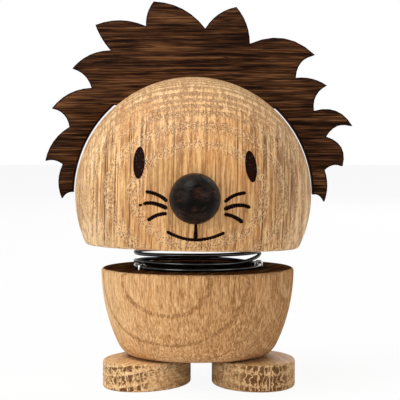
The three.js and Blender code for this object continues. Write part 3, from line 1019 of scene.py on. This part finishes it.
class LION_OT_body(bpy.types.Operator):
    """Turn the bowl of the body"""

    bl_idname = "lion.body"
    bl_label = "Body"

    def execute(self, context):
        scene = context.scene
        body = scene.lion_body
        piece = turned("body_bowl", self.profile(body, body_high.z - body_low.z))
        put(piece, Matrix.Translation((body_axis.x, body_axis.y, body_low.z)))
        holes = []
        for side in ("left", "right"):
            low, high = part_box("foot_dowel_" + side)
            axis = (low + high) / 2
            start = Vector((axis.x, axis.y, body_low.z - DRILL_PAST))
            end = Vector((axis.x, axis.y, high.z + DRILL_PLAY))
            holes.append(rod_tool(scene.lion_feet.dowel_radius, start, end))
        cut(piece, holes)
        turn = tuple(math.radians(degrees) for degrees in BODY_GRAIN)
        finish = oak("body_oak", scene.lion_colours, body_axis, turn, BODY_OAK)
        done(piece, finish, "trunk", "oak", "body")
        return {"FINISHED"}

    def profile(self, body, height):
        def radius_at(level):
            return body.radius * math.sqrt(1 - ((height - level) / body.bowl_depth) ** 2)

        low = (radius_at(body.foot_edge), body.foot_edge)
        high = (radius_at(height - body.rim_edge), height - body.rim_edge)
        bottom = radius_at(0)
        step = (high[1] - low[1]) / BOWL_STEPS
        levels = [low[1] + step * index for index in range(1, BOWL_STEPS)]
        return [
            *round_corner((bottom - body.foot_edge, 0), (bottom, 0), low),
            *[(radius_at(level), level) for level in levels],
            *round_corner(high, (body.radius, height), (body.radius - body.rim_edge, height)),
        ]


class LION_OT_head(bpy.types.Operator):
    """Turn the ball of the head and saw the slot for the mane"""

    bl_idname = "lion.head"
    bl_label = "Head"

    def execute(self, context):
        scene = context.scene
        head = scene.lion_head
        mane = scene.lion_mane
        nose = scene.lion_nose
        piece = turned("head_ball", self.profile(head))
        reach = head.radius + DRILL_PAST
        slot = box_tool(
            Vector((-reach, mane.setback - head.slot_play, head.slot_floor)),
            Vector((reach, mane.setback + mane.thickness + head.slot_play, reach)),
        )
        dowel = rod_tool(
            nose.dowel_radius,
            Vector((0, -reach, nose.height)),
            Vector((0, nose.dowel_in_head - head.radius, nose.height)),
        )
        cut(piece, [slot, dowel])
        put(piece, head_place(scene))
        turn = tuple(math.radians(degrees) for degrees in HEAD_GRAIN)
        finish = oak("head_oak", scene.lion_colours, head_place(scene).translation, turn, HEAD_OAK)
        done(piece, finish, "head", "oak", "head")
        return {"FINISHED"}

    def profile(self, head):
        """From the roof of the hollow over the underside and round the ball to its top."""
        rim = math.sqrt(head.radius ** 2 - head.drop ** 2)
        first = math.asin((head.edge - head.drop) / head.radius)
        step = (math.pi / 2 - first) / BALL_STEPS
        arc = [
            (head.radius * math.cos(first + step * i), head.radius * math.sin(first + step * i))
            for i in range(BALL_STEPS)
        ]
        return [
            (head.hollow_radius, head.hollow_depth - head.drop),
            (head.hollow_radius, -head.drop),
            *round_corner((rim - head.edge, -head.drop), (rim, -head.drop), arc[0]),
            *arc[1:],
            (0, head.radius),
        ]


class LION_OT_face(bpy.types.Operator):
    """Burn the eyes, the whiskers and the mouth into the head"""

    bl_idname = "lion.face"
    bl_label = "Face"

    def execute(self, context):
        scene = context.scene
        head = scene.lion_head
        face = scene.lion_face
        piece = bpy.data.objects["head_ball"]
        place = head_place(scene)
        strokes = [self.stroke(stroke, head, face) for stroke in (*WHISKERS, MOUTH, LIP)]
        dots = [self.dot(spot, head) for spot in WHISKER_DOTS]
        eyes = [self.eye(*eye, head, face) for eye in EYES]
        tools = [put(tool, place) for tool in (*strokes, *dots, *eyes)]
        cut(piece, tools, charred_wood("burnt_face", scene.lion_colours, place.translation))
        only(piece)
        bpy.ops.object.shade_smooth_by_angle(angle=SMOOTH_BELOW)
        return {"FINISHED"}

    def on_ball(self, across, up, radius):
        return Vector((across, -math.sqrt(radius ** 2 - across ** 2 - up ** 2), up))

    def stroke(self, stroke, head, face):
        """A tool for one burnt line: a rod along the ball that swells at each dot."""
        start, middle, end, first_width, last_width = stroke
        start, middle, end = (Vector(spot) * mm for spot in (start, middle, end))
        control = 2 * middle - (start + end) / 2
        steps = round((end - start).length / face.dot_pitch * STEPS_PER_DOT)
        flat = []
        for index in range(steps + 1):
            t = index / steps
            flat.append((1 - t) ** 2 * start + 2 * t * (1 - t) * control + t ** 2 * end)
        line = [self.on_ball(spot.x, spot.y, head.radius) for spot in flat]
        way = [0.0]
        for before, after in zip(line, line[1:]):
            way.append(way[-1] + (after - before).length)
        shares = []
        for run in way:
            width = first_width + (last_width - first_width) * run / way[-1]
            near_end = min(run, way[-1] - run) / (width * mm / 2)
            rounding = math.sqrt(1 - (1 - min(near_end, 1)) ** 2)
            dots = 1 - face.dot_swell * (1 - abs(math.cos(math.pi * run / face.dot_pitch)))
            shares.append(width * dots * max(rounding, BLUNT_END))
        return wire("stroke", line, mm / 2, shares, 3)

    def dot(self, spot, head):
        start_piece()
        across, up = spot
        middle = self.on_ball(across * mm, up * mm, head.radius)
        bpy.ops.mesh.primitive_ico_sphere_add(subdivisions=3, radius=DOT_RADIUS, location=middle)
        return put(bpy.context.object, Matrix.Identity(4))

    def eye(self, top, bottom, width, head, face):
        """A tool for one eye: a pointed oval prism that ends just under the ball's surface."""
        top, bottom = (Vector(spot) * mm for spot in (top, bottom))
        middle = (top + bottom) / 2
        half = (top - bottom).length / 2
        side = width * mm / 2
        blunt = side * EYE_TIP_HANDLE
        full = half * EYE_SIDE_HANDLE
        edges = [
            (Vector((0, half)), Vector((-blunt, half)), Vector((-side, full))),
            (Vector((-side, 0)), Vector((-side, -full)), Vector((-blunt, -half))),
            (Vector((0, -half)), Vector((blunt, -half)), Vector((side, -full))),
            (Vector((side, 0)), Vector((side, full)), Vector((blunt, half))),
        ]
        piece = plate("eye", edges, head.radius)
        lean = math.atan2(bottom.x - top.x, top.y - bottom.y)
        stand = Matrix.Translation((middle.x, -head.radius, middle.y))
        put(piece, stand @ Matrix.Rotation(-lean, 4, "Y") @ Matrix.Rotation(QUARTER_TURN, 4, "X"))
        return cut(piece, [ball_tool(head.radius - face.eye_depth)])


class LION_OT_mane(bpy.types.Operator):
    """Saw the flat mane with its flames"""

    bl_idname = "lion.mane"
    bl_label = "Mane"

    def execute(self, context):
        scene = context.scene
        mane = scene.lion_mane
        piece = plate("mane_plate", self.outline(scene), mane.thickness - 2 * mane.rim_drop)
        only(piece)
        for face in piece.data.polygons:
            face.select = abs(face.normal.z) > MANE_FLAT
        bpy.ops.object.mode_set(mode="EDIT")
        bpy.ops.mesh.select_mode(type="FACE")
        bpy.ops.mesh.inset(thickness=mane.charred_rim, depth=mane.rim_drop)
        bpy.ops.object.mode_set(mode="OBJECT")
        place = head_place(scene)
        piece.data.materials.append(smoked_oak("mane_oak", scene.lion_colours, place.translation))
        piece.data.materials.append(charred_wood("burnt_rim", scene.lion_colours, place.translation))
        for face in piece.data.polygons:
            face.material_index = int(abs(face.normal.z) < MANE_UNBURNT)
        stand = Matrix.Translation((0, mane.setback + mane.thickness / 2, 0))
        put(piece, place @ stand @ Matrix.Rotation(QUARTER_TURN, 4, "X"))
        done(piece, None, "head", "smoked_oak", "mane")
        return {"FINISHED"}

    def outline(self, scene):
        """The flames from left to right, then the arch with the seat in the middle of it."""
        head = scene.lion_head
        arch = head.radius + scene.lion_mane.arch_play
        seat = head.slot_floor + scene.lion_mane.seat_play

        def spot(degrees, stand):
            turn = math.radians(degrees)
            return Vector((math.cos(turn), math.sin(turn))) * (head.radius + stand)

        left = spot(MANE_ARCH_LEFT, scene.lion_mane.arch_play)
        right = spot(MANE_ARCH_RIGHT, scene.lion_mane.arch_play)
        tips = [spot(degrees, stand * mm) for degrees, stand, _ in MANE_FLAMES]
        bulges = [MANE_FIRST_BULGE, *[bulge for *_, bulge in MANE_FLAMES]]
        knots = [left, *tips, right]
        edges = [
            swelling_edge(start, end, bulge * mm)
            for start, end, bulge in zip(knots, knots[1:], bulges)
        ]
        seat_angle = math.asin(seat / arch)
        seat_right = Vector((math.cos(seat_angle), math.sin(seat_angle))) * arch
        seat_left = Vector((-seat_right.x, seat_right.y))
        right_end = math.radians(MANE_ARCH_RIGHT)
        left_end = math.radians(MANE_ARCH_LEFT)
        return [
            *edges,
            *arc_edges(arch, right_end, seat_angle, MANE_ARCH_PARTS),
            swelling_edge(seat_right, seat_left, 0),
            *arc_edges(arch, math.pi - seat_angle, left_end, MANE_ARCH_PARTS),
        ]


class LION_OT_nose(bpy.types.Operator):
    """Turn the nose ball and hollow its seat"""

    bl_idname = "lion.nose"
    bl_label = "Nose"

    def execute(self, context):
        scene = context.scene
        head = scene.lion_head
        nose = scene.lion_nose
        start_piece()
        middle = Vector((0, -head.radius - nose.stand, nose.height))
        bpy.ops.mesh.primitive_uv_sphere_add(
            segments=NOSE_SIDES, ring_count=NOSE_RINGS, radius=nose.radius,
        )
        piece = bpy.context.object
        piece.name = "nose_ball"
        put(piece, Matrix.Translation(middle) @ Matrix.Rotation(QUARTER_TURN, 4, "X"))
        seat = ball_tool(head.radius + nose.seat_play)
        hole = rod_tool(
            nose.dowel_radius,
            Vector((0, -head.radius - nose.dowel_in_nose, nose.height)),
            Vector((0, -head.radius + DRILL_PAST, nose.height)),
        )
        cut(piece, [seat, hole])
        place = head_place(scene)
        put(piece, place)
        finish = stained_wood("nose_stain", scene.lion_colours, place @ middle)
        done(piece, finish, "head", "stained_wood", "nose")
        return {"FINISHED"}


class LION_OT_spring(bpy.types.Operator):
    """Wind the neck spring in lengths of wire that meet at seams"""

    bl_idname = "lion.spring"
    bl_label = "Spring"

    def execute(self, context):
        scene = context.scene
        neck = scene.lion_wire
        finish = black_wire("blackened_wire")
        down = Vector((0, 0, -1))
        up = head_place(scene).to_3x3() @ Vector((0, 0, 1))
        for name, first, last, below, above, leave, reach in NECK_WIRES:
            points = [self.spot(turn, scene) for turn in self.turns(first, last)]
            if name == NECK_WIRES[0][0]:
                points = [*reversed(self.tang(points[0], points[1], down, neck)), *points]
            if name == NECK_WIRES[-1][0]:
                points = [*points, *self.tang(points[-1], points[-2], up, neck)]
            piece = wire(name, points, neck.diameter / 2)
            done(piece, finish, None, "spring_steel", "spring")
            leave = (body_axis.x, body_axis.y + leave * mm, 0)
            reach = (body_axis.x, body_axis.y + reach * mm, 0)
            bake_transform(piece)
        return {"FINISHED"}

    def turns(self, first, last):
        count = round((last - first) * WIRE_STEPS_PER_TURN)
        return [first + (last - first) * index / count for index in range(count + 1)]

    def spot(self, turn, scene):
        """The middle of the wire after a number of turns from the front."""
        neck = scene.lion_wire
        head = scene.lion_head
        rise = sum(height * smooth_step(turn, first, last) for first, last, height in WIRE_RISES)
        height = body_high.z + neck.diameter / 2 + neck.seat_play + rise * mm
        way = 3 * QUARTER_TURN + turn * math.tau
        x = neck.coil_radius * math.cos(way)
        y = neck.coil_radius * math.sin(way)
        on_body = Vector((body_axis.x + x, body_axis.y + y, height))
        middle = body_high.z + head.neck_gap + head.drop
        on_head = head_place(scene) @ Vector((x, y, height - middle))
        return on_body.lerp(on_head, smooth_step(turn, *WIRE_TO_HEAD))

    def tang(self, end, before, towards, neck):
        """The wire's end, bent over and sunk in the wood."""
        bend = neck.diameter
        out = (end - before).normalized()
        middle = end + towards * bend
        points = []
        for step in range(1, CORNER_STEPS + 1):
            turn = math.pi / 2 * step / CORNER_STEPS
            points.append(middle - towards * bend * math.cos(turn) + out * bend * math.sin(turn))
        points.append(points[-1] + towards * neck.tang)
        return points


class LION_OT_staples(bpy.types.Operator):
    """Bend the staples that hold the spring"""

    bl_idname = "lion.staples"
    bl_label = "Staples"

    def execute(self, context):
        scene = context.scene
        head = scene.lion_head
        finish = bright_wire("bright_wire")
        on_body = Matrix.Translation((body_axis.x, body_axis.y, body_high.z))
        roof = head.hollow_depth - head.drop
        in_head = head_place(scene) @ Matrix.Translation((0, 0, roof))
        in_head = in_head @ Matrix.Rotation(math.pi, 4, "X")
        seats = {"trunk": on_body, "head": in_head}
        staple = self.staple(scene.lion_wire)
        for name, degrees, body, node in STAPLES:
            turn = Matrix.Rotation(math.radians(degrees), 4, "Z")
            out = Matrix.Translation((scene.lion_wire.coil_radius, 0, 0))
            piece = copy_of(staple, name)
            put(piece, seats[body] @ turn @ out)
            done(piece, finish, body, "staple_steel", node)
        bpy.data.objects.remove(staple)
        return {"FINISHED"}

    def staple(self, neck):
        """A staple that stands over the origin with both legs in the wood below."""
        radius = neck.staple_diameter / 2
        half = neck.diameter / 2 + radius + neck.staple_play
        crown = neck.diameter + radius + neck.staple_play
        bend = neck.staple_bend
        points = [Vector((-half, 0, -neck.staple_leg))]
        for side in (-1, 1):
            for step in range(CORNER_STEPS + 1):
                turn = math.pi / 2 * step / CORNER_STEPS
                turn = math.pi - turn if side < 0 else math.pi / 2 - turn
                x = side * (half - bend) + bend * math.cos(turn)
                points.append(Vector((x, 0, crown - bend + bend * math.sin(turn))))
        points.append(Vector((half, 0, -neck.staple_leg)))
        return wire("staple", points, radius)


class LION_OT_dowels(bpy.types.Operator):
    """Give the turned rods inside the figure their wood"""

    bl_idname = "lion.dowels"
    bl_label = "Dowels"

    def execute(self, context):
        colours = context.scene.lion_colours
        for node, turn in (
            ("foot_dowel_left", (0, 0, 0)),
            ("foot_dowel_right", (0, 0, 0)),
            ("nose_dowel", (QUARTER_TURN, 0, 0)),
        ):
            low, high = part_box(node)
            finish = dowel_wood(node + "_wood", colours, (low + high) / 2, turn)
            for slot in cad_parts[node].material_slots:
                slot.material = finish
        return {"FINISHED"}


class LION_OT_stage(bpy.types.Operator):
    """Set up the floor, the soft light and the camera"""

    bl_idname = "lion.stage"
    bl_label = "Stage"

    def execute(self, context):
        scene = context.scene
        stage = scene.lion_stage
        scene.view_settings.view_transform = "Standard"
        self.sky(scene, stage)
        self.floor(stage)
        for name, spot, size in LAMPS:
            self.lamp(name + "_light", spot, size, getattr(stage, name))
        self.camera(scene, stage)
        return {"FINISHED"}

    def sky(self, scene, stage):
        """Even light for the object, and plain white for the camera and for reflections."""
        studio = Finish("studio", bpy.data.worlds)
        seen, mirrored, let_through = (
            studio.node("ShaderNodeLightPath", output=name)
            for name in ("Is Camera Ray", "Is Glossy Ray", "Is Transmission Ray")
        )
        seen = seen.at_least(mirrored).at_least(let_through)
        values = {"Color": (1, 1, 1, 1), "Strength": seen * (1 - stage.sky) + stage.sky}
        light = studio.node("ShaderNodeBackground", None, values)
        studio.node("ShaderNodeOutputWorld", None, {"Surface": light})
        scene.world = studio.material

    def floor(self, stage):
        """A round floor. The camera sees it mostly white, with a soft shadow of the object."""
        start_piece()
        bpy.ops.mesh.primitive_circle_add(
            vertices=FLOOR_SIDES, radius=FLOOR_RADIUS, fill_type="NGON",
        )
        piece = bpy.context.object
        piece.name = "floor"
        finish = Finish("pale_floor")
        plain = finish.node("ShaderNodeBsdfDiffuse", None, {"Color": (*stage.floor, 1)})
        white = finish.node("ShaderNodeEmission", None, {"Color": (1, 1, 1, 1), "Strength": 1.0})
        seen = finish.node("ShaderNodeLightPath", output="Is Camera Ray")
        values = {"Fac": seen * stage.white, "Shader": plain, "Shader_001": white}
        mixed = finish.node("ShaderNodeMixShader", None, values)
        finish.node("ShaderNodeOutputMaterial", None, {"Surface": mixed})
        piece.data.materials.append(finish.material)

    def lamp(self, name, spot, size, watts):
        bpy.ops.object.light_add(type="AREA", location=spot)
        lamp = bpy.context.object
        lamp.name = name
        lamp.data.shape = "DISK"
        lamp.data.size = size
        lamp.data.energy = watts
        aim = LAMP_AIM - Vector(spot)
        lamp.rotation_euler = aim.to_track_quat("-Z", "Y").to_euler()

    def camera(self, scene, stage):
        bpy.ops.object.camera_add(
            location=(stage.eye_x, stage.eye_y, stage.eye_z),
            rotation=(QUARTER_TURN - stage.look_down, 0, -stage.look_right),
        )
        scene.camera = bpy.context.object
        scene.camera.data.sensor_width = CAMERA_SENSOR
        scene.camera.data.lens = stage.focal
        scene.camera.data.clip_start = CAMERA_NEAR
        scene.camera.data.clip_end = CAMERA_FAR


OPERATORS = (
    LION_OT_feet,
    LION_OT_body,
    LION_OT_head,
    LION_OT_face,
    LION_OT_mane,
    LION_OT_nose,
    LION_OT_spring,
    LION_OT_staples,
    LION_OT_dowels,
    LION_OT_stage,
)

SETTINGS = {
    "lion_feet": FeetSettings,
    "lion_body": BodySettings,
    "lion_head": HeadSettings,
    "lion_face": FaceSettings,
    "lion_mane": ManeSettings,
    "lion_nose": NoseSettings,
    "lion_wire": WireSettings,
    "lion_colours": WoodColours,
    "lion_stage": StageSettings,
}


class LION_PT_panel(bpy.types.Panel):
    """Sizes, colours and steps of the lion"""

    bl_idname = "LION_PT_panel"
    bl_label = "Wooden Lion"
    bl_space_type = "VIEW_3D"
    bl_region_type = "UI"
    bl_category = "Lion"

    def draw(self, context):
        for operator in OPERATORS:
            self.layout.operator(operator.bl_idname)
        for name, group in SETTINGS.items():
            box = self.layout.box()
            box.label(text=name.replace("lion_", "").capitalize())
            for setting in group.__annotations__:
                box.prop(getattr(context.scene, name), setting)


def register():
    for group in SETTINGS.values():
        bpy.utils.register_class(group)
    for operator in (*OPERATORS, LION_PT_panel):
        bpy.utils.register_class(operator)
    for name, group in SETTINGS.items():
        setattr(bpy.types.Scene, name, PointerProperty(type=group))


def unregister():
    for name in SETTINGS:
        delattr(bpy.types.Scene, name)
    for group in (LION_PT_panel, *reversed(OPERATORS), *reversed(SETTINGS.values())):
        bpy.utils.unregister_class(group)


def main():
    register()
    for operator in OPERATORS:
        family, name = operator.bl_idname.split(".")
        getattr(getattr(bpy.ops, family), name)()


if __name__ == "__main__":
    main()
